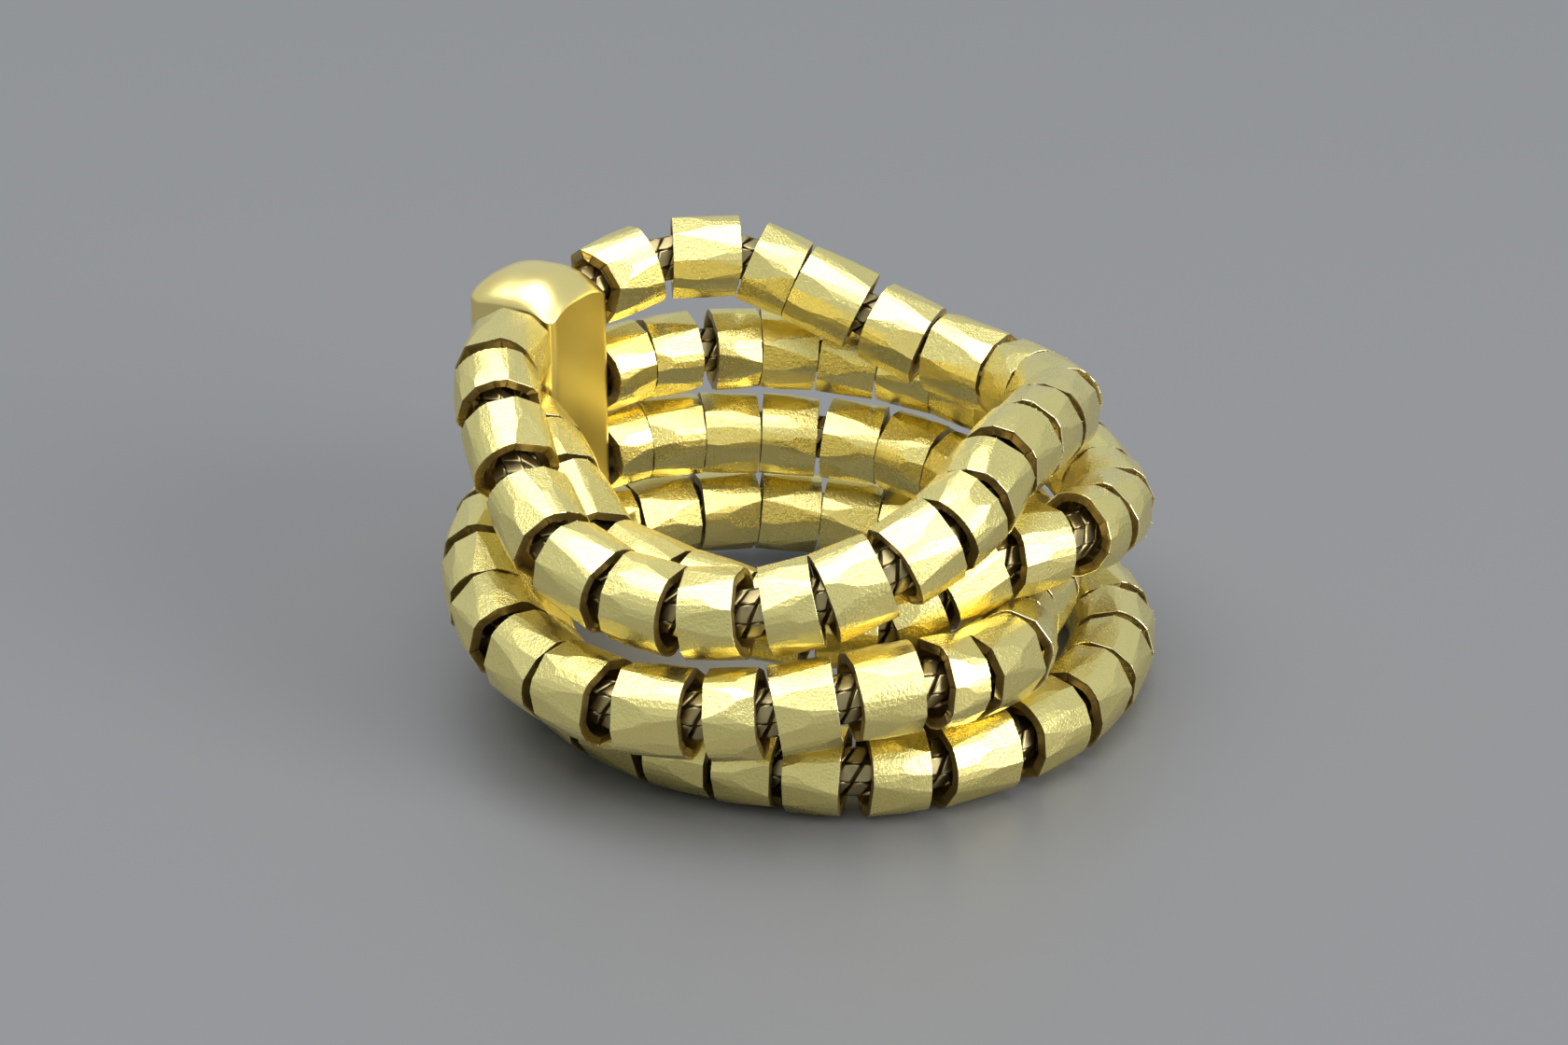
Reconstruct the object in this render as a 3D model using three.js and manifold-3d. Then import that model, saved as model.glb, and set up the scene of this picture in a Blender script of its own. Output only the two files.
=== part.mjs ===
// Multi-strand ring lying on its side: four flexible strands of hammered tube beads,
// all ending in one upright terminal bar. Millimetres, +Z up along the finger axis.
import * as THREE from 'three';
import { mergeVertices } from 'three/addons/utils/BufferGeometryUtils.js';
import Module from 'manifold-3d';

const wasm = await Module();
wasm.setup();

const STRAND_RADIUS = 10.0;
const BEAD_RADIUS = 1.5;
const BEAD_SIDES = 10;
const CHAIN_RADIUS = 0.8;
const CHAIN_SIDES = 8;
const CHAIN_HOLD = 0.3;
const BAR_GAP = 0.25;
const FACE_CLEARANCE = 3;

// The bar stands upright. The middle of its inner face is at this angle and distance from
// the finger's axis, and the bar is turned to face the finger.
const BAR_ANGLE = 146.23;
const BAR_DISTANCE = STRAND_RADIUS - 0.556;
const BAR_TURN = 60;
const BAR_WIDTH = 3.8;
const BAR_THICKNESS = 3.95;
const BAR_BOTTOM = 1.2;
const BAR_TOP = 13.3;
const BAR_INNER_ROUND = 0.3;
const BAR_OUTER_ROUND = 1.2;
const BAR_END_SLOPE = 0.15;
const BAR_CORNER_ROUND = 1.5;
const BAR_CAP_ROUND = 1.4;

// Each strand's route round the finger, by hand, as the places where it bends: angle in the
// plan (90 is the back, 270 the front), how far out its centre line runs from STRAND_RADIUS,
// and its height.
const ROUTES = {
  strand_1: [
    [156.5, 1.0, 11.2], [175, 0.6, 11.1], [200, 0.1, 9.2], [225, 0.5, 7.7],
    [250, 0.7, 7.3], [275, 0.6, 8.1], [300, -0.1, 9.7], [320, -1.4, 10.6],
    [345, -1.6, 10.5], [370, -0.8, 9.9], [395, -0.9, 9.4], [420, -1.2, 9.8],
    [445, -1.0, 11.3], [465, -0.1, 12.5], [480, 0.6, 12.4], [496.4, 1.2, 11.7],
  ],
  strand_2: [
    [156.5, 1.0, 8.1], [165, -0.3, 8.1], [180, -1.5, 7.8], [205, -2.3, 6.6],
    [230, -2.5, 6.4], [270, -2.2, 5.9], [290, -1.8, 6.0], [315, -1.4, 7.3],
    [335, -0.3, 7.2], [360, 0.9, 6.6], [380, 1.0, 6.4], [400, 1.3, 6.9],
    [420, 1.2, 7.6], [450, 0.6, 8.4], [480, 0.8, 8.6], [496.4, 1.2, 8.4],
  ],
  strand_3: [
    [156.5, 1.0, 5.0], [180, 1.0, 5.2], [205, 1.3, 4.4], [235, 1.9, 4.1],
    [260, 1.8, 4.4], [285, 1.5, 5.1], [300, 1.2, 4.9], [315, 0.1, 4.6],
    [330, -1.7, 4.0], [355, -1.7, 3.9], [380, -1.3, 4.0], [405, -0.4, 4.4],
    [430, 0.1, 4.8], [455, 0.1, 5.2], [480, 0.7, 5.4], [496.4, 1.2, 5.3],
  ],
  strand_4: [
    [156.5, 1.0, 1.9], [180, -0.5, 1.6], [200, -1.0, 1.5], [225, -1.1, 1.5],
    [250, -0.8, 1.5], [285, 0.3, 1.5], [315, 0.5, 1.5], [345, 0.8, 1.5],
    [375, 1.4, 1.5], [405, 1.0, 1.5], [435, 0.5, 1.6], [465, 0.4, 2.1],
    [496.4, 1.2, 2.2],
  ],
};

// Beads of each strand, by hand: the bare stretch before a bead, then its length. The strands
// begin at the bar's left face, run past the front, the right and the back, and end at its
// other face. Stretches that are out of sight are even.
const BEADS = {
  strand_1: [
    [0.9, 2.6], [0.2, 1.6], [0.7, 2.2], [1.3, 2.5], [0.7, 2.3], [0.4, 2.1],
    [0.4, 1.9], [0.7, 1.7], [0.2, 2.0], [0.5, 1.9], [0.1, 1.6], [0.1, 1.8],
    [0.4, 2.0], [0.2, 1.9], [0.2, 2.5], [0.3, 2.4], [0.3, 1.8], [0.7, 2.6],
    [0.7, 2.1], [0.7, 2.5], [0.1, 1.8], [0.5, 2.5], [1.0, 2.3],
  ],
  strand_2: [
    [0.9, 2.1], [0.2, 2.2], [0.2, 2.8], [1.4, 3.0], [0.2, 2.3], [0.2, 1.9],
    [0.2, 2.0], [0.3, 1.7], [0.2, 2.2], [0.6, 2.0], [1.4, 1.5],
    ...evenBeads(9, 0.3, 2.1),
    [0.1, 1.7], [0.8, 1.8], [0.2, 2.2],
  ],
  strand_3: [
    [0.9, 2.2], [0.3, 2.3], [0.3, 2.3], [0.2, 2.2], [0.8, 2.5], [0.1, 2.2],
    [0.7, 2.3], [0.6, 1.7], [0.4, 2.0], [0.5, 2.1], [0.6, 1.4], [0.1, 2.4],
    [0.2, 2.0],
    ...evenBeads(9, 0.4, 2.1),
    [0.2, 2.1], [0.1, 2.3], [0.1, 2.1],
  ],
  strand_4: [
    [0.9, 2.2], [0.3, 2.3], [0.3, 2.3], [0.3, 2.4], [0.3, 2.5], [0.2, 2.2],
    [0.1, 2.0], [0.2, 1.9], [0.6, 2.0], [0.4, 2.6], [0.7, 2.3], [0.4, 2.4],
    [0.2, 2.3], [0.4, 2.1],
    ...evenBeads(8, 0.3, 2.2),
    [0.3, 2.3], [0.2, 1.7],
  ],
};

function evenBeads(count, gap, length) {
  return Array(count).fill([gap, length]);
}

const gold = new THREE.MeshStandardMaterial({
  name: 'gold',
  color: 0xd2c48c,
  metalness: 1.0,
  roughness: 0.3,
});

const barGold = new THREE.MeshStandardMaterial({
  name: 'bar_gold',
  color: 0xcfae62,
  metalness: 1.0,
  roughness: 0.25,
});

function toSolid(geometry) {
  geometry.deleteAttribute('normal');
  geometry.deleteAttribute('uv');
  const merged = mergeVertices(geometry, 1e-5);
  return new wasm.Manifold(new wasm.Mesh({
    numProp: 3,
    vertProperties: Float32Array.from(merged.attributes.position.array),
    triVerts: Uint32Array.from(merged.index.array),
  }));
}

function toMesh(name, solid, material) {
  const result = solid.getMesh();
  const geometry = new THREE.BufferGeometry();
  geometry.setAttribute('position', new THREE.BufferAttribute(result.vertProperties, 3));
  geometry.setIndex(new THREE.BufferAttribute(result.triVerts, 1));
  geometry.computeVertexNormals();
  const mesh = new THREE.Mesh(geometry, material);
  mesh.name = name;
  return mesh;
}

function strandCurve(route) {
  const points = route.map(([degrees, out, height]) => {
    const angle = THREE.MathUtils.degToRad(degrees);
    const radius = STRAND_RADIUS + out;
    return new THREE.Vector3(radius * Math.cos(angle), radius * Math.sin(angle), height);
  });
  const curve = new THREE.CatmullRomCurve3(points, false, 'centripetal');
  curve.arcLengthDivisions = 1200;
  return curve;
}

function roundedShape(width, depth, innerRound, outerRound) {
  const shape = new THREE.Shape();
  const half = width / 2;
  shape.moveTo(-half + innerRound, 0);
  shape.lineTo(half - innerRound, 0);
  shape.quadraticCurveTo(half, 0, half, innerRound);
  shape.lineTo(half, depth - outerRound);
  shape.quadraticCurveTo(half, depth, half - outerRound, depth);
  shape.lineTo(-half + outerRound, depth);
  shape.quadraticCurveTo(-half, depth, -half, depth - outerRound);
  shape.lineTo(-half, innerRound);
  shape.quadraticCurveTo(-half, 0, -half + innerRound, 0);
  return shape;
}

// Plan outline of the bar, pulled upwards. Local +X runs along the bar's width and local
// +Y points away from the finger. The prism may grow all round and reach inwards.
function barPrism(grow, reach) {
  const shape = roundedShape(
    BAR_WIDTH + 2 * grow,
    BAR_THICKNESS + 2 * grow + reach,
    BAR_INNER_ROUND,
    BAR_OUTER_ROUND,
  );
  const prism = new THREE.ExtrudeGeometry(shape, {
    depth: BAR_TOP - BAR_BOTTOM + 2 * grow,
    bevelEnabled: false,
    curveSegments: 4,
  });
  prism.translate(0, -grow - reach, BAR_BOTTOM - grow);
  return prism;
}

// Side outline of the bar: the end caps are domed, and fall a little towards the outer side.
function barSideOutline() {
  const inner = BAR_CAP_ROUND;
  const outer = BAR_CAP_ROUND;
  const top = BAR_TOP;
  const bottom = BAR_BOTTOM;
  const back = BAR_THICKNESS;
  const fall = BAR_END_SLOPE;
  const shape = new THREE.Shape();
  shape.moveTo(0, bottom + inner);
  shape.quadraticCurveTo(0, bottom, inner, bottom);
  shape.lineTo(back - outer, bottom + fall);
  shape.quadraticCurveTo(back, bottom + fall, back, bottom + fall + outer);
  shape.lineTo(back, top - fall - outer);
  shape.quadraticCurveTo(back, top - fall, back - outer, top - fall);
  shape.lineTo(inner, top);
  shape.quadraticCurveTo(0, top, 0, top - inner);
  const prism = new THREE.ExtrudeGeometry(shape, {
    depth: BAR_WIDTH + 2,
    bevelEnabled: false,
    curveSegments: 5,
  });
  const turn = new THREE.Matrix4().makeBasis(
    new THREE.Vector3(0, 1, 0),
    new THREE.Vector3(0, 0, 1),
    new THREE.Vector3(1, 0, 0),
  );
  prism.translate(0, 0, -BAR_WIDTH / 2 - 1);
  prism.applyMatrix4(turn);
  return prism;
}

// Front outline of the bar: softly rounded corners at both ends.
function barFrontOutline() {
  const height = BAR_TOP - BAR_BOTTOM;
  const shape = roundedShape(BAR_WIDTH, height, BAR_CORNER_ROUND, BAR_CORNER_ROUND);
  const prism = new THREE.ExtrudeGeometry(shape, {
    depth: BAR_THICKNESS + 2,
    bevelEnabled: false,
    curveSegments: 4,
  });
  prism.rotateX(Math.PI / 2);
  prism.translate(0, BAR_THICKNESS + 1, BAR_BOTTOM);
  return prism;
}

function placeBar(geometry) {
  geometry.rotateZ(THREE.MathUtils.degToRad(BAR_TURN));
  const angle = THREE.MathUtils.degToRad(BAR_ANGLE);
  geometry.translate(BAR_DISTANCE * Math.cos(angle), BAR_DISTANCE * Math.sin(angle), 0);
  return geometry;
}

function barSolid() {
  const plan = toSolid(placeBar(barPrism(0, 0)));
  const side = toSolid(placeBar(barSideOutline()));
  const front = toSolid(placeBar(barFrontOutline()));
  return plan.intersect(side).intersect(front);
}

// A straight rod between two points.
function rodSolid(start, end, radius, sides) {
  const axis = end.clone().sub(start);
  const rod = new THREE.CylinderGeometry(radius, radius, axis.length(), sides);
  rod.applyQuaternion(new THREE.Quaternion().setFromUnitVectors(
    new THREE.Vector3(0, 1, 0),
    axis.normalize(),
  ));
  const middle = start.clone().add(end).multiplyScalar(0.5);
  rod.translate(middle.x, middle.y, middle.z);
  return toSolid(rod);
}

// Each bead is a straight sleeve with square ends. The chain shows only between the beads,
// and its ends stop just short of the bar.
function strandSolid(name, barSpace) {
  const curve = strandCurve(ROUTES[name]);
  const length = curve.getLength();
  const at = (distance) => curve.getPointAt(Math.min(distance / length, 1));
  const solids = [];
  let chainStart = 0;
  let lastEnd = 0;
  for (const [gap, beadLength] of BEADS[name]) {
    const start = lastEnd + gap;
    const end = start + beadLength;
    solids.push(rodSolid(at(start), at(end), BEAD_RADIUS, BEAD_SIDES));
    solids.push(rodSolid(at(chainStart), at(start + CHAIN_HOLD), CHAIN_RADIUS, CHAIN_SIDES));
    chainStart = end - CHAIN_HOLD;
    lastEnd = end;
  }
  solids.push(rodSolid(at(chainStart), at(length), CHAIN_RADIUS, CHAIN_SIDES));
  return solids.reduce((sum, solid) => sum.add(solid)).subtract(barSpace);
}

const group = new THREE.Group();
group.name = 'bead_ring';

group.add(toMesh('terminal_bar', barSolid(), barGold));

// No strand comes nearer to the bar than its gap, or stands in front of its inner face.
const barSpace = toSolid(placeBar(barPrism(BAR_GAP, FACE_CLEARANCE)));
for (const name of Object.keys(ROUTES)) {
  group.add(toMesh(name, strandSolid(name, barSpace), gold));
}

// The origin is the middle of the ring's footprint, on the surface it lies on.
const box = new THREE.Box3().setFromObject(group);
const centre = box.getCenter(new THREE.Vector3());
for (const mesh of group.children) {
  mesh.geometry.translate(-centre.x, -centre.y, -box.min.z);
}

export default group;
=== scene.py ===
# Multi-strand ring lying on its side: its terminal bar, its hammered beads and their chains.
import math
import random

import bpy
from mathutils import Matrix, Vector


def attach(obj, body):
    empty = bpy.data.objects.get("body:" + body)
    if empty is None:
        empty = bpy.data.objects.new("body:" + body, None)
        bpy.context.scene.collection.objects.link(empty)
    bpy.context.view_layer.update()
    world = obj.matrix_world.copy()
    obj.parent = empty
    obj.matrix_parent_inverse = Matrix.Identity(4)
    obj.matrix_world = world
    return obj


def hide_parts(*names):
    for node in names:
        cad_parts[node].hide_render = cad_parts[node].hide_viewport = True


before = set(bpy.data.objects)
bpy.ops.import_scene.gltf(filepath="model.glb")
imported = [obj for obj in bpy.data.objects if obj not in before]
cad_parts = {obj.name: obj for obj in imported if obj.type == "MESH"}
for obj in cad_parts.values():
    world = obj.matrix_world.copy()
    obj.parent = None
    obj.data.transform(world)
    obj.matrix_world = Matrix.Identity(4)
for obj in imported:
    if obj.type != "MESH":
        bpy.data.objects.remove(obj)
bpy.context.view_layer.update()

# Lengths are millimetres until a finished piece is brought to metres. The camera's clipping,
# the materials, the floor and the lights are in metres from the start.
MM = 0.001

# The finger's axis, which the routes run round, stands here in the CAD frame.
CAD_SHIFT = Vector((-0.0763, 0.5482, 0.0))

STRAND_RADIUS = 10.0
SPAN_STEPS = 24
HEADING_REACH = 0.05
STRAND_SEED = 40

BEAD_RADIUS = 1.52
BEAD_WALL = 0.33
BEAD_MODEL_LENGTH = 2.4
BEAD_MODEL_HALF = BEAD_MODEL_LENGTH / 2
BEAD_CLEARANCE = 0.015
BEAD_END_SLOPE = 0.03

# One sleeve is modelled for each seed. It is made longer by the spare and sawn to length.
SLEEVE_SEEDS = range(3, 15)
SLEEVE_SIDES = 40
SLEEVE_SPARE = 1.6

# Hammer blows round a sleeve: how many, how far each strays from even spacing, how it leans
# in degrees, how deep it stops as a share of the radius, and how far from the middle it lands.
BLOW_COUNTS = (13, 14, 15)
BLOW_STRAY = 0.3
BLOW_LEAN = (1.5, 5.5)
BLOW_DEPTH = (0.958, 0.985)
BLOW_HEIGHT = (0.1, 0.8)
CUT_TOLERANCE = 1e-5
WELD_DISTANCE = 0.02
FLAT_ANGLE = math.radians(0.5)
FACET_ANGLE = math.radians(3)
FACET_WEAR = 0.11

# A beaten rim lies at most this far inside BEAD_RADIUS, and one end of each of its edges
# lies less far inside.
RIM_DEPTH = 0.2
RIM_SHALLOW_DEPTH = 0.14
RIM_WEAR = 0.035
RIM_REACH = 0.05

# How much a face has to look along the sleeve to be its end, its sawn wall or its rim, how
# near the sawn plane counts as on it, and how far inside BEAD_RADIUS the bore begins.
FACING_END = 0.9
FACING_WALL = 0.95
FACING_RIM = 0.25
ON_PLANE = 0.001
BORE_DEPTH = BEAD_WALL * 0.7

CHAIN_RADIUS = 0.8
CHAIN_HOLD = 0.5
CHAIN_ROWS = 8
LINK_PITCH = 0.62
LINK_SIZE = (LINK_PITCH * 0.9, CHAIN_RADIUS * 0.74, 0.3)
LINK_SLANT = 0.17
LINK_WEAR = 0.07
LINK_SINK = 0.15
LINKS_BEGIN = 0.3
LINKS_STOP = 0.2
CORE_SIDES = 12
CORE_RADIUS = CHAIN_RADIUS - 0.12
CORE_SMOOTH_ANGLE = math.radians(40)

BAR_FOOT = Vector((-7.85, 5.25, 0.0))
BAR_TURN = math.radians(60)
BAR_ACROSS = Vector((math.cos(BAR_TURN), math.sin(BAR_TURN), 0.0))
BAR_WIDTH = 3.8
BAR_THICKNESS = 3.95
BAR_BOTTOM = 1.2
BAR_TOP = 13.3
BAR_HEIGHT = BAR_TOP - BAR_BOTTOM
BAR_MIDDLE = (BAR_TOP + BAR_BOTTOM) / 2
BAR_GAP = 0.2
BAR_END_FALL = 0.15
BAR_OUTER_ROUND = 1.05
BAR_INNER_ROUND = 0.32
BAR_CAP_WEAR = 0.3
BAR_REMESH_SIZE = 0.09
BAR_SMOOTHING = 16

# The bar's caps fall with the cube of the way out to a side. The sixth power of the way to an
# end keeps the fall near the ends.
BAR_DOME = 0.8
BAR_DOME_OUTWARDS = 3
BAR_DOME_UPWARDS = 6

# Tests of place: how near counts as there, and how much an upright edge rises at least.
NEAR = 0.01
UPRIGHT_RISE = 5


def even_beads(count, gap, length):
    return [[gap, length]] * count


# Each strand's route round the finger, as the places where it bends: angle in the plan, how
# far out its centre line runs from STRAND_RADIUS, and its height.
ROUTES = {
    "strand_1": [
        [156.5, 1.0, 11.2], [175, 0.6, 11.1], [200, 0.1, 9.2], [225, 0.5, 7.7],
        [250, 0.7, 7.3], [275, 0.6, 8.1], [300, -0.1, 9.7], [320, -1.4, 10.6],
        [345, -1.6, 10.5], [370, -0.8, 9.9], [395, -0.9, 9.4], [420, -1.2, 9.8],
        [445, -1.0, 11.3], [465, -0.1, 12.5], [480, 0.6, 12.4], [496.4, 1.2, 11.7],
    ],
    "strand_2": [
        [156.5, 1.0, 8.1], [165, -0.3, 8.1], [180, -1.5, 7.8], [205, -2.3, 6.6],
        [230, -2.5, 6.4], [270, -2.2, 5.9], [290, -1.8, 6.0], [315, -1.4, 7.3],
        [335, -0.3, 7.2], [360, 0.9, 6.6], [380, 1.0, 6.4], [400, 1.3, 6.9],
        [420, 1.2, 7.6], [450, 0.6, 8.4], [480, 0.8, 8.6], [496.4, 1.2, 8.4],
    ],
    "strand_3": [
        [156.5, 1.0, 5.0], [180, 1.0, 5.2], [205, 1.3, 4.4], [235, 1.9, 4.1],
        [260, 1.8, 4.4], [285, 1.5, 5.1], [300, 1.2, 4.9], [315, 0.1, 4.6],
        [330, -1.7, 4.0], [355, -1.7, 3.9], [380, -1.3, 4.0], [405, -0.4, 4.4],
        [430, 0.1, 4.8], [455, 0.1, 5.2], [480, 0.7, 5.4], [496.4, 1.2, 5.3],
    ],
    "strand_4": [
        [156.5, 1.0, 1.9], [180, -0.5, 1.6], [200, -1.0, 1.5], [225, -1.1, 1.5],
        [250, -0.8, 1.5], [285, 0.3, 1.5], [315, 0.5, 1.5], [345, 0.8, 1.5],
        [375, 1.4, 1.5], [405, 1.0, 1.5], [435, 0.5, 1.6], [465, 0.4, 2.1],
        [496.4, 1.2, 2.2],
    ],
}

# Beads of each strand: the bare stretch before a bead, then its length. Stretches that are
# out of sight are even.
BEADS = {
    "strand_1": [
        [0.9, 2.6], [0.2, 1.6], [0.7, 2.2], [1.3, 2.5], [0.7, 2.3], [0.4, 2.1],
        [0.4, 1.9], [0.7, 1.7], [0.2, 2.0], [0.5, 1.9], [0.1, 1.6], [0.1, 1.8],
        [0.4, 2.0], [0.2, 1.9], [0.2, 2.5], [0.3, 2.4], [0.3, 1.8], [0.7, 2.6],
        [0.7, 2.1], [0.7, 2.5], [0.1, 1.8], [0.5, 2.5], [1.0, 2.3],
    ],
    "strand_2": [
        [0.9, 2.1], [0.2, 2.2], [0.2, 2.8], [1.4, 3.0], [0.2, 2.3], [0.2, 1.9],
        [0.2, 2.0], [0.3, 1.7], [0.2, 2.2], [0.6, 2.0], [1.4, 1.5],
        *even_beads(9, 0.3, 2.1),
        [0.1, 1.7], [0.8, 1.8], [0.2, 2.2],
    ],
    "strand_3": [
        [0.9, 2.2], [0.3, 2.3], [0.3, 2.3], [0.2, 2.2], [0.8, 2.5], [0.1, 2.2],
        [0.7, 2.3], [0.6, 1.7], [0.4, 2.0], [0.5, 2.1], [0.6, 1.4], [0.1, 2.4],
        [0.2, 2.0],
        *even_beads(9, 0.4, 2.1),
        [0.2, 2.1], [0.1, 2.3], [0.1, 2.1],
    ],
    "strand_4": [
        [0.9, 2.2], [0.3, 2.3], [0.3, 2.3], [0.3, 2.4], [0.3, 2.5], [0.2, 2.2],
        [0.1, 2.0], [0.2, 1.9], [0.6, 2.0], [0.4, 2.6], [0.7, 2.3], [0.4, 2.4],
        [0.2, 2.3], [0.4, 2.1],
        *even_beads(8, 0.3, 2.2),
        [0.3, 2.3], [0.2, 1.7],
    ],
}

# Camera: at the photo's angle, a little above the ring, with a long lens. The last four
# numbers are pixels: the picture's width, the focal length, and how far the ring is from the
# picture's middle.
CAMERA_DISTANCE = 130.0
CAMERA_HEIGHT_ANGLE = math.radians(26.5)
CAMERA_PLACE = CAMERA_DISTANCE * Vector(
    (0.0, -math.cos(CAMERA_HEIGHT_ANGLE), math.sin(CAMERA_HEIGHT_ANGLE)))
PICTURE_WIDTH = 1680.0
FOCAL_PIXELS = 3900.0
RIGHT_OF_MIDDLE = 17.0
BELOW_MIDDLE = 165.0


def add_camera():
    data = bpy.data.cameras.new("camera")
    data.sensor_fit = "HORIZONTAL"
    data.sensor_width = 36.0
    data.lens = FOCAL_PIXELS * data.sensor_width / PICTURE_WIDTH
    data.clip_start = 0.005
    data.clip_end = 5.0
    camera = bpy.data.objects.new("camera", data)
    bpy.context.scene.collection.objects.link(camera)
    camera.location = (CAMERA_PLACE + CAD_SHIFT) * MM
    down = CAMERA_HEIGHT_ANGLE - math.atan(BELOW_MIDDLE / FOCAL_PIXELS)
    left = math.atan(RIGHT_OF_MIDDLE / FOCAL_PIXELS) / math.cos(CAMERA_HEIGHT_ANGLE)
    camera.rotation_euler = (math.radians(90.0) - down, 0.0, left)
    bpy.context.scene.camera = camera


class Strand:
    """The smooth route of one strand, walked by the distance from the bar's left face."""

    def __init__(self, route):
        points = []
        for degrees, out, height in route:
            angle = math.radians(degrees)
            radius = STRAND_RADIUS + out
            points.append(Vector((radius * math.cos(angle), radius * math.sin(angle), height)))
        points.insert(0, points[0] * 2 - points[1])
        points.append(points[-1] * 2 - points[-2])
        self.path = []
        for i in range(1, len(points) - 2):
            self.path += self.span(points[i - 1:i + 3])
        self.path.append(points[-2])
        self.distance = [0.0]
        for before, after in zip(self.path, self.path[1:]):
            self.distance.append(self.distance[-1] + (after - before).length)
        self.length = self.distance[-1]

    @staticmethod
    def span(p):
        """Points on the centripetal curve from the second to the third of four points."""
        knots = [0.0]
        for before, after in zip(p, p[1:]):
            knots.append(knots[-1] + math.sqrt((after - before).length))

        def mix(a, b, i, j, t):
            return a.lerp(b, (t - knots[i]) / (knots[j] - knots[i]))

        out = []
        for step in range(SPAN_STEPS):
            t = knots[1] + (knots[2] - knots[1]) * step / SPAN_STEPS
            a = mix(p[0], p[1], 0, 1, t)
            b = mix(p[1], p[2], 1, 2, t)
            c = mix(p[2], p[3], 2, 3, t)
            out.append(mix(mix(a, b, 0, 2, t), mix(b, c, 1, 3, t), 1, 2, t))
        return out

    def at(self, distance):
        distance = min(max(distance, 0.0), self.length)
        low, high = 0, len(self.distance) - 1
        while high - low > 1:
            middle = (low + high) // 2
            if self.distance[middle] <= distance:
                low = middle
            else:
                high = middle
        share = (distance - self.distance[low]) / (self.distance[high] - self.distance[low])
        return self.path[low].lerp(self.path[high], share)

    def heading(self, distance):
        ahead = self.at(distance + HEADING_REACH)
        behind = self.at(distance - HEADING_REACH)
        return (ahead - behind).normalized()


def deselect_all():
    bpy.ops.object.select_all(action="DESELECT")


def active():
    return bpy.context.view_layer.objects.active


def pick_faces(obj, wanted):
    """In edit mode, selects the faces that wanted(centre, normal) says."""
    bpy.ops.object.mode_set(mode="OBJECT")
    for vertex in obj.data.vertices:
        vertex.select = False
    for edge in obj.data.edges:
        edge.select = False
    for face in obj.data.polygons:
        face.select = bool(wanted(face.center, face.normal))
    bpy.ops.object.mode_set(mode="EDIT")
    bpy.ops.mesh.select_mode(type="FACE")


def pick_edges(obj, wanted):
    """In edit mode, selects the edges that wanted(first end, second end) says."""
    bpy.ops.object.mode_set(mode="OBJECT")
    mesh = obj.data
    for face in mesh.polygons:
        face.select = False
    for vertex in mesh.vertices:
        vertex.select = False
    chosen = []
    for edge in mesh.edges:
        a, b = (mesh.vertices[i].co for i in edge.vertices)
        edge.select = bool(wanted(a, b))
        chosen.append(edge.select)
    # Edge mode is set first and the choice made again, because the change of mode alters it.
    bpy.ops.object.mode_set(mode="EDIT")
    bpy.ops.mesh.select_mode(type="EDGE")
    bpy.ops.object.mode_set(mode="OBJECT")
    for edge, select in zip(mesh.edges, chosen):
        edge.select = select
    bpy.ops.object.mode_set(mode="EDIT")


def apply_modifier(obj, kind, **settings):
    modifier = obj.modifiers.new(kind.lower(), kind)
    for key, value in settings.items():
        setattr(modifier, key, value)
    bpy.context.view_layer.objects.active = obj
    bpy.ops.object.modifier_apply(modifier=modifier.name)


def smooth_shading(obj):
    """Smooth normals that follow the larger faces, so that flats look flat."""
    bpy.ops.object.shade_smooth()
    apply_modifier(obj, "WEIGHTED_NORMAL", weight=50, keep_sharp=True)


def join_pieces(pieces, name):
    deselect_all()
    for piece in pieces:
        piece.select_set(True)
    bpy.context.view_layer.objects.active = pieces[0]
    bpy.ops.object.join()
    joined = active()
    joined.name = name
    joined.data.name = name
    return joined


class Value:
    """Shader maths: a wrapped socket, so that patterns read as expressions."""

    def __init__(self, surface, socket):
        self.surface = surface
        self.socket = socket

    def _maths(self, operation, *values):
        return self.surface.node("ShaderNodeMath", {"operation": operation}, *values)

    def __add__(self, other):
        return self._maths("ADD", self, other)

    def __radd__(self, other):
        return self._maths("ADD", other, self)

    def __mul__(self, other):
        return self._maths("MULTIPLY", self, other)

    def __rmul__(self, other):
        return self._maths("MULTIPLY", other, self)


class Surface:
    """A material and the nodes behind it."""

    def __init__(self, name):
        self.material = bpy.data.materials.new(name)
        self.material.use_nodes = True
        self.tree = self.material.node_tree
        self.shader = self.tree.nodes["Principled BSDF"]

    def node(self, kind, settings, *values, output=0, **named):
        """A new node: its settings, then its sockets in order or by name. None leaves one be."""
        node = self.tree.nodes.new(kind)
        for key, value in settings.items():
            setattr(node, key, value)
        sockets = list(zip(node.inputs, values))
        sockets += [(node.inputs[key.replace("_", " ")], value) for key, value in named.items()]
        for socket, value in sockets:
            self.feed(socket, value)
        return Value(self, node.outputs[output])

    def feed(self, socket, value):
        if isinstance(value, Value):
            self.tree.links.new(value.socket, socket)
        elif value is not None:
            socket.default_value = value

    def shade(self, **sockets):
        for key, value in sockets.items():
            self.feed(self.shader.inputs[key.replace("_", " ")], value)

    def place(self):
        return self.node("ShaderNodeTexCoord", {}, output="Object")

    def noise(self, scale, detail=2.0, roughness=0.5):
        return self.node(
            "ShaderNodeTexNoise", {}, Vector=self.place(), Scale=scale, Detail=detail,
            Roughness=roughness)

    def mix(self, share, first, second):
        """Two colours mixed. The node's colours come after its factor and five other sockets,
        and the mixed colour is its third output."""
        others = [None] * 5
        return self.node(
            "ShaderNodeMix", {"data_type": "RGBA"}, share, *others, first, second, output=2)

    def bump(self, height, distance, strength):
        return self.node(
            "ShaderNodeBump", {}, Strength=strength, Distance=distance, Height=height)


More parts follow.
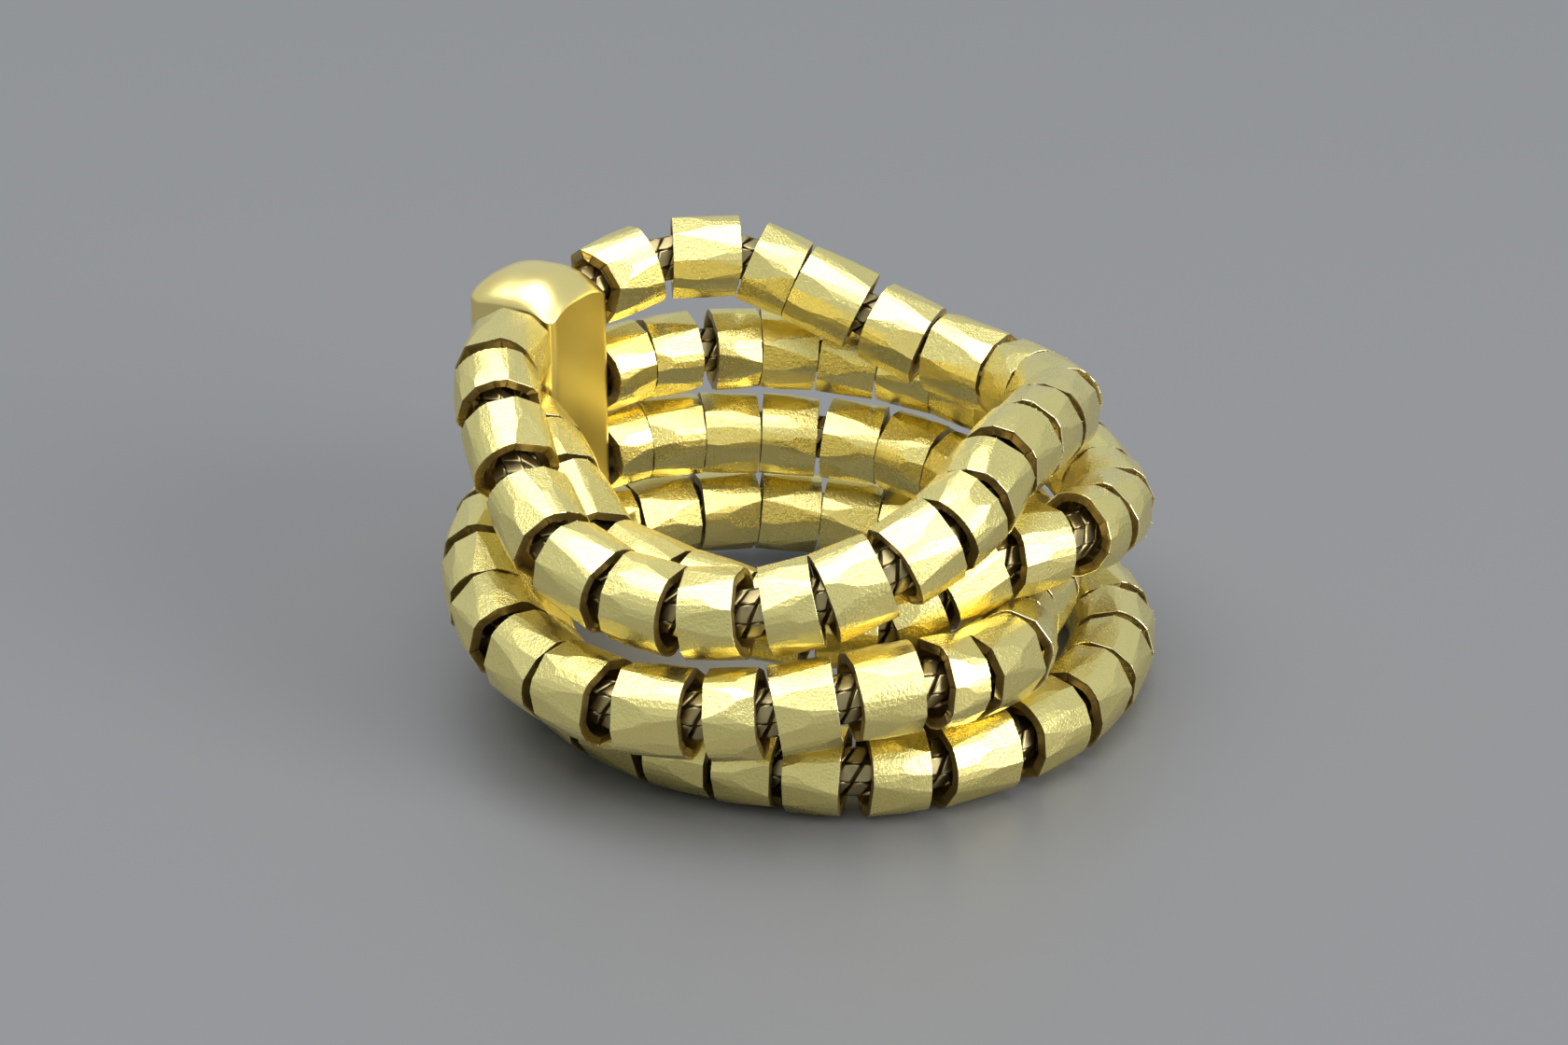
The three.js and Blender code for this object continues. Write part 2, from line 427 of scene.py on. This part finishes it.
def satin_gold():
    """Beaten gold with a fine sandy skin that is worn smooth on patches."""
    surface = Surface("satin_gold")
    grain = surface.noise(scale=11000.0, detail=3.0, roughness=0.6)
    dimple = surface.noise(scale=3000.0)
    patches = surface.noise(scale=600.0, detail=1.0)
    surface.shade(
        Metallic=1.0,
        Base_Color=surface.mix(grain, (0.9, 0.74, 0.23, 1), (0.98, 0.87, 0.36, 1)),
        Roughness=0.18 + patches * 0.1 + grain * 0.1,
        Normal=surface.bump(grain * 0.9 + dimple * 0.5, distance=0.00003, strength=0.7),
    )
    return surface.material


def rim_gold():
    """The bead's edge, polished by its neighbours."""
    surface = Surface("rim_gold")
    worn = surface.noise(scale=3000.0)
    surface.shade(
        Metallic=1.0,
        Base_Color=surface.mix(worn, (0.93, 0.82, 0.42, 1), (0.97, 0.9, 0.52, 1)),
        Roughness=0.13 + worn * 0.08,
    )
    return surface.material


def end_gold():
    """The sawn wall at a bead's end and its bore, rough and dull."""
    surface = Surface("sawn_end_gold")
    rough = surface.noise(scale=5200.0, detail=4.0, roughness=0.65)
    surface.shade(
        Metallic=1.0,
        Base_Color=surface.mix(rough, (0.42, 0.29, 0.09, 1), (0.72, 0.56, 0.2, 1)),
        Roughness=0.34 + rough * 0.18,
        Normal=surface.bump(rough, distance=0.00003, strength=0.7),
    )
    return surface.material


def woven_gold():
    """The worn faces of the chain, painted darker than the beads as the shade in the gaps
    between them.
    """
    surface = Surface("chain_gold")
    wear = surface.noise(scale=2500.0)
    surface.shade(
        Metallic=1.0,
        Base_Color=surface.mix(wear, (0.26, 0.2, 0.09, 1), (0.5, 0.42, 0.21, 1)),
        Roughness=0.28 + wear * 0.14,
    )
    return surface.material


def painted_shade_core():
    """Painted shade inside the chain: a near-black metal standing in for the shadow between its
    scales.
    """
    surface = Surface("chain_inside")
    shade_mottle = surface.noise(scale=2500.0)
    surface.shade(
        Metallic=1.0,
        Base_Color=surface.mix(shade_mottle, (0.07, 0.05, 0.02, 1), (0.16, 0.1, 0.04, 1)),
        Roughness=0.5 + shade_mottle * 0.1,
    )
    return surface.material


def bar_gold():
    """The bar's smooth gold, a little clouded."""
    surface = Surface("bar_gold")
    cloud = surface.noise(scale=320.0)
    grain = surface.noise(scale=7000.0)
    surface.shade(
        Metallic=1.0,
        Base_Color=surface.mix(cloud, (0.97, 0.76, 0.25, 1), (0.99, 0.86, 0.36, 1)),
        Roughness=0.22 + cloud * 0.12 + grain * 0.05,
        Normal=surface.bump(cloud + grain * 0.15, distance=0.00003, strength=0.5),
    )
    return surface.material


# A bead's materials, in the order of their slots.
OUTSIDE, RIM, ENDS = 0, 1, 2
bead_metals = [satin_gold(), rim_gold(), end_gold()]
# The chain is painted darker than the beads, as shade in the gaps between them.
chain_metal = woven_gold()
# The chain's core is painted near-black, as shade inside the chain.
core_metal = painted_shade_core()
bar_metal = bar_gold()


def model_hammered_sleeve(seed):
    """One tube bead, beaten all round into soft flat facets, standing along Z."""
    deselect_all()
    bpy.ops.mesh.primitive_cylinder_add(
        vertices=SLEEVE_SIDES, radius=BEAD_RADIUS, depth=BEAD_MODEL_LENGTH + SLEEVE_SPARE,
        location=(0, 0, 0))
    sleeve = active()
    sleeve.name = "sleeve_%d" % seed
    beat_sleeve(sleeve, random.Random(seed))
    saw_sleeve(sleeve)
    smooth_shading(sleeve)
    paint_sleeve(sleeve)
    return sleeve


def beat_sleeve(sleeve, chance):
    """Flattens the outside blow by blow, then wears the edges between the facets."""
    bpy.ops.object.mode_set(mode="EDIT")
    blows = chance.choice(BLOW_COUNTS)
    first = chance.uniform(0, 2 * math.pi)
    for blow in range(blows):
        turn = first + (blow + chance.uniform(-BLOW_STRAY, BLOW_STRAY)) * 2 * math.pi / blows
        lean = math.radians(chance.uniform(*BLOW_LEAN) * chance.choice((-1, 1)))
        depth = BEAD_RADIUS * chance.uniform(*BLOW_DEPTH)
        outward = Vector((
            math.cos(turn) * math.cos(lean), math.sin(turn) * math.cos(lean), math.sin(lean)))
        strike = Vector((
            math.cos(turn) * depth, math.sin(turn) * depth,
            math.copysign(chance.uniform(*BLOW_HEIGHT), lean)))
        bpy.ops.mesh.select_all(action="SELECT")
        bpy.ops.mesh.bisect(
            plane_co=strike, plane_no=outward, clear_outer=True, use_fill=True,
            threshold=CUT_TOLERANCE)
    bpy.ops.mesh.select_all(action="SELECT")
    bpy.ops.mesh.remove_doubles(threshold=WELD_DISTANCE)
    bpy.ops.mesh.dissolve_limited(angle_limit=FLAT_ANGLE)
    bpy.ops.object.mode_set(mode="OBJECT")
    apply_modifier(
        sleeve, "BEVEL", width=FACET_WEAR, segments=3, limit_method="ANGLE",
        angle_limit=FACET_ANGLE, use_clamp_overlap=True)


def saw_sleeve(sleeve):
    """Saws both ends square, opens the bore from end to end and wears the rims."""

    def on_end(centre, normal):
        return abs(normal.z) > FACING_END and abs(centre.z) > BEAD_MODEL_HALF - ON_PLANE

    def on_rim(a, b):
        shallow, deep = sorted((BEAD_RADIUS - a.xy.length, BEAD_RADIUS - b.xy.length))
        both_sawn = min(abs(a.z), abs(b.z)) > BEAD_MODEL_HALF - ON_PLANE
        at_one_end = both_sawn and a.z * b.z > 0
        return at_one_end and deep < RIM_DEPTH and shallow < RIM_SHALLOW_DEPTH

    bpy.ops.object.mode_set(mode="EDIT")
    for end in (1, -1):
        bpy.ops.mesh.select_all(action="SELECT")
        bpy.ops.mesh.bisect(
            plane_co=(0, 0, BEAD_MODEL_HALF * end), plane_no=(0, 0, end), clear_outer=True,
            use_fill=True, threshold=CUT_TOLERANCE)
    pick_faces(sleeve, on_end)
    bpy.ops.mesh.inset(thickness=BEAD_WALL, depth=0.0, use_even_offset=True)
    bpy.ops.mesh.bridge_edge_loops()
    pick_edges(sleeve, on_rim)
    bpy.ops.mesh.bevel(offset=RIM_WEAR, segments=2, affect="EDGES", clamp_overlap=True)
    bpy.ops.object.mode_set(mode="OBJECT")


def paint_sleeve(sleeve):
    """Dull metal on the ends and in the bore, bright on the rims, satin on the rest."""
    for metal in bead_metals:
        sleeve.data.materials.append(metal)
    for face in sleeve.data.polygons:
        endwards = abs(face.normal.z)
        if endwards > FACING_WALL or face.center.xy.length < BEAD_RADIUS - BORE_DEPTH:
            face.material_index = ENDS
        elif endwards > FACING_RIM and abs(face.center.z) > BEAD_MODEL_HALF - RIM_REACH:
            face.material_index = RIM
        else:
            face.material_index = OUTSIDE


def bead_places(beads):
    """Start and length of each bead along its strand."""
    places = []
    end = 0.0
    for gap, length in beads:
        places.append((end + gap, length))
        end += gap + length
    return places


def end_planes(strand, beads):
    """For each bead, the planes that its two ends stay behind: a point and the way on."""
    gaps = []
    for (start, length), (following, _) in zip(beads, beads[1:]):
        middle = (start + length + following) / 2
        gaps.append((strand.at(middle), strand.heading(middle)))
    reach = BAR_WIDTH / 2 + BAR_GAP
    gaps.insert(0, (BAR_FOOT - BAR_ACROSS * reach, -BAR_ACROSS))
    gaps.append((BAR_FOOT + BAR_ACROSS * reach, -BAR_ACROSS))
    return list(zip(gaps, gaps[1:]))


def place_sleeve(model, strand, start, length, planes, chance):
    """A copy of a sleeve on its strand, its ends nearly square and clear of its neighbours."""

    def slope():
        return chance.uniform(-BEAD_END_SLOPE, BEAD_END_SLOPE)

    first = strand.at(start)
    last = strand.at(start + length)
    along = (last - first).normalized()
    half = (last - first).length / 2
    middle = (first + last) / 2
    side = along.orthogonal().normalized()
    up = along.cross(side)
    slopes = [side * slope() + up * slope(), side * slope() + up * slope()]
    roll = chance.uniform(0, 2 * math.pi)
    flip = chance.choice((-1.0, 1.0))
    mesh = model.data.copy()
    for vertex in mesh.vertices:
        x, y, z = vertex.co
        turned = Vector((
            x * math.cos(roll) - y * math.sin(roll), x * math.sin(roll) + y * math.cos(roll)))
        if flip < 0:
            turned.y, z = -turned.y, -z
        across = side * turned.x + up * turned.y
        share = z / BEAD_MODEL_HALF
        end = 1 if share > 0 else 0
        point, onward = planes[end]
        sign = 1.0 if end else -1.0
        room = sign * (point - middle - across).dot(onward) - BEAD_CLEARANCE
        reach = min(half + slopes[end].dot(across), room / along.dot(onward))
        vertex.co = (middle + CAD_SHIFT + across + along * (share * reach)) * MM
    bead = bpy.data.objects.new("bead", mesh)
    bpy.context.scene.collection.objects.link(bead)
    return bead


def thread_beads(sleeves, strand, beads, chance):
    """All beads of one strand, each a copy of some sleeve."""
    threaded = []
    for (start, length), planes in zip(beads, end_planes(strand, beads)):
        threaded.append(
            place_sleeve(chance.choice(sleeves), strand, start, length, planes, chance))
    return threaded


def model_chain_link():
    """One worn face of a chain loop: a slanting scale with soft edges, along X, out on Z."""
    deselect_all()
    bpy.ops.mesh.primitive_cube_add(size=1.0, location=(0, 0, 0))
    scale = active()
    scale.name = "chain_scale"
    scale.scale = LINK_SIZE
    bpy.ops.object.transform_apply(location=True, rotation=True, scale=True)
    bpy.ops.object.mode_set(mode="EDIT")
    # Lean the scale over, so that its joints slant across the chain.
    for end in (1, -1):
        pick_edges(scale, lambda a, b: min(a.y * end, b.y * end) > NEAR)
        bpy.ops.transform.translate(value=(LINK_SLANT * end, 0, 0))
    pick_edges(scale, lambda a, b: min(a.z, b.z) > NEAR)
    bpy.ops.mesh.bevel(offset=LINK_WEAR, segments=2, affect="EDGES")
    bpy.ops.object.mode_set(mode="OBJECT")
    smooth_shading(scale)
    scale.data.materials.append(chain_metal)
    return scale


def place_links(model, strand, distance):
    """The scales that stand round the chain at one place, every other one half a link on."""
    along = strand.heading(distance)
    side = along.cross(Vector((0, 0, 1))).normalized()
    up = side.cross(along)
    links = []
    for row in range(CHAIN_ROWS):
        turn = (row + 0.5) * 2 * math.pi / CHAIN_ROWS
        out = up * math.cos(turn) + side * math.sin(turn)
        cross = out.cross(along)
        place = Matrix((along, cross, out)).transposed().to_4x4()
        slide = along * LINK_PITCH * (0.5 if row % 2 else 0.0)
        middle = strand.at(distance) + slide + out * (CHAIN_RADIUS - LINK_SINK)
        place.translation = middle + CAD_SHIFT
        mesh = model.data.copy()
        mesh.transform(Matrix.Scale(MM, 4) @ place)
        link = bpy.data.objects.new("link", mesh)
        bpy.context.scene.collection.objects.link(link)
        links.append(link)
    return links


def place_core(strand, start, end):
    """The dark inside of the chain, a core painted as shade and seen only through the joints of
    its scales.
    """
    first, last = strand.at(start) + CAD_SHIFT, strand.at(end) + CAD_SHIFT
    deselect_all()
    bpy.ops.mesh.primitive_cylinder_add(
        vertices=CORE_SIDES, radius=CORE_RADIUS, depth=(last - first).length,
        location=(0, 0, 0))
    core = active()
    bpy.ops.object.shade_smooth_by_angle(angle=CORE_SMOOTH_ANGLE)
    turn = (last - first).to_track_quat("Z", "Y").to_matrix().to_4x4()
    place = Matrix.Translation((first + last) / 2) @ turn
    core.data.transform(Matrix.Scale(MM, 4) @ place)
    core.data.materials.append(core_metal)
    return core


def lay_chain(link_model, strand, beads):
    """The chain where it shows, between the beads and at the bar."""
    laid = []
    ends = [0.0] + [start + length for start, length in beads]
    starts = [start for start, length in beads] + [strand.length]
    for bead_end, bead_start in zip(ends, starts):
        first = max(bead_end - CHAIN_HOLD, 0.0)
        last = min(bead_start + CHAIN_HOLD, strand.length)
        laid.append(place_core(strand, first, last))
        distance = first + LINKS_BEGIN
        while distance < last - LINKS_STOP:
            laid += place_links(link_model, strand, distance)
            distance += LINK_PITCH
    return laid


def round_bar_edges(bar):
    """Slopes both caps, then rounds the outer uprights broadly and the other edges a little."""

    def outer(a, b):
        return min(a.y, b.y) > BAR_THICKNESS - NEAR

    def inner(a, b):
        return max(a.y, b.y) < NEAR

    def upright(a, b):
        return abs(a.z - b.z) > UPRIGHT_RISE

    def at_height(z, a, b):
        return abs(a.z - z) < NEAR and abs(b.z - z) < NEAR

    bpy.ops.object.mode_set(mode="EDIT")
    for end, drop in ((BAR_TOP, -BAR_END_FALL), (BAR_BOTTOM, BAR_END_FALL)):
        pick_edges(bar, lambda a, b: outer(a, b) and at_height(end, a, b))
        bpy.ops.transform.translate(value=(0, 0, drop))
    pick_edges(bar, lambda a, b: outer(a, b) and upright(a, b))
    bpy.ops.mesh.bevel(offset=BAR_OUTER_ROUND, segments=8, affect="EDGES")
    pick_edges(bar, lambda a, b: inner(a, b) and upright(a, b))
    bpy.ops.mesh.bevel(offset=BAR_INNER_ROUND, segments=4, affect="EDGES")
    pick_edges(bar, lambda a, b: not upright(a, b))
    bpy.ops.mesh.bevel(offset=BAR_CAP_WEAR, segments=3, affect="EDGES")
    bpy.ops.object.mode_set(mode="OBJECT")


def dome_bar_caps(bar):
    """Lets both caps fall towards their sides and corners."""
    for vertex in bar.data.vertices:
        across = abs(vertex.co.x) / (BAR_WIDTH / 2)
        through = abs(vertex.co.y - BAR_THICKNESS / 2) / (BAR_THICKNESS / 2)
        share = (vertex.co.z - BAR_MIDDLE) / (BAR_HEIGHT / 2)
        outwards = across ** BAR_DOME_OUTWARDS + through ** BAR_DOME_OUTWARDS
        fall = BAR_DOME * outwards * abs(share) ** BAR_DOME_UPWARDS
        vertex.co.z -= math.copysign(fall, share)


def model_bar():
    """The upright bar: a flat inner side, a rounded outer side and domed end caps."""
    deselect_all()
    bpy.ops.mesh.primitive_cube_add(
        size=1.0, location=(0, BAR_THICKNESS / 2, BAR_BOTTOM + BAR_HEIGHT / 2))
    bar = active()
    bar.name = "terminal_bar_body"
    bar.scale = (BAR_WIDTH, BAR_THICKNESS, BAR_HEIGHT)
    bpy.ops.object.transform_apply(location=True, rotation=True, scale=True)
    round_bar_edges(bar)
    apply_modifier(bar, "REMESH", mode="VOXEL", voxel_size=BAR_REMESH_SIZE)
    dome_bar_caps(bar)
    # Every edge is softened, as years of wear do.
    apply_modifier(bar, "SMOOTH", factor=0.5, iterations=BAR_SMOOTHING)
    bpy.ops.object.shade_smooth()
    place = Matrix.Translation(BAR_FOOT + CAD_SHIFT) @ Matrix.Rotation(BAR_TURN, 4, "Z")
    bar.data.transform(Matrix.Scale(MM, 4) @ place)
    bar.data.materials.append(bar_metal)
    return bar


def add_floor():
    """The table. The lowest beads reach just under the CAD's, so this one is set lower."""
    deselect_all()
    bpy.ops.mesh.primitive_plane_add(size=3.0, location=(0, 0.4, -0.00006))
    floor = active()
    floor.name = "table_top"
    surface = Surface("table_grey")
    surface.shade(Base_Color=(0.155, 0.155, 0.158, 1), Roughness=0.5)
    floor.data.materials.append(surface.material)


def add_softbox(name, location, target, size, power):
    data = bpy.data.lights.new(name, "AREA")
    data.shape = "RECTANGLE"
    data.size, data.size_y = size
    data.energy = power
    light = bpy.data.objects.new(name, data)
    bpy.context.scene.collection.objects.link(light)
    light.location = location
    aim = Vector(target) - Vector(location)
    light.rotation_euler = aim.to_track_quat("-Z", "Y").to_euler()


def add_world():
    world = bpy.data.worlds.new("studio")
    bpy.context.scene.world = world
    world.use_nodes = True
    background = world.node_tree.nodes["Background"]
    background.inputs["Color"].default_value = (0.72, 0.78, 0.84, 1)
    background.inputs["Strength"].default_value = 0.74


add_camera()

bar = model_bar()
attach(bar, "root")
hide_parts("terminal_bar")

sleeves = [model_hammered_sleeve(seed) for seed in SLEEVE_SEEDS]
link_model = model_chain_link()

for number, (name, route) in enumerate(ROUTES.items(), start=1):
    strand = Strand(route)
    beads = bead_places(BEADS[name])
    chance = random.Random(STRAND_SEED + number)
    beads_piece = join_pieces(thread_beads(sleeves, strand, beads, chance), name + "_beads")
    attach(beads_piece, "root")
    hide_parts(name)
    chain_piece = join_pieces(lay_chain(link_model, strand, beads), name + "_chain")
    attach(chain_piece, "root")
    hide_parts(name)

for model in sleeves + [link_model]:
    bpy.data.objects.remove(model)

add_floor()
add_softbox(
    "top_softbox", location=(-0.06, -0.05, 0.42), target=(0, 0, 0), size=(0.5, 0.45), power=2.3)
add_softbox(
    "side_softbox", location=(0.4, -0.25, 0.22), target=(0, 0, 0.005), size=(0.24, 0.3),
    power=2.2)
add_world()
bpy.context.scene.view_settings.view_transform = "Standard"
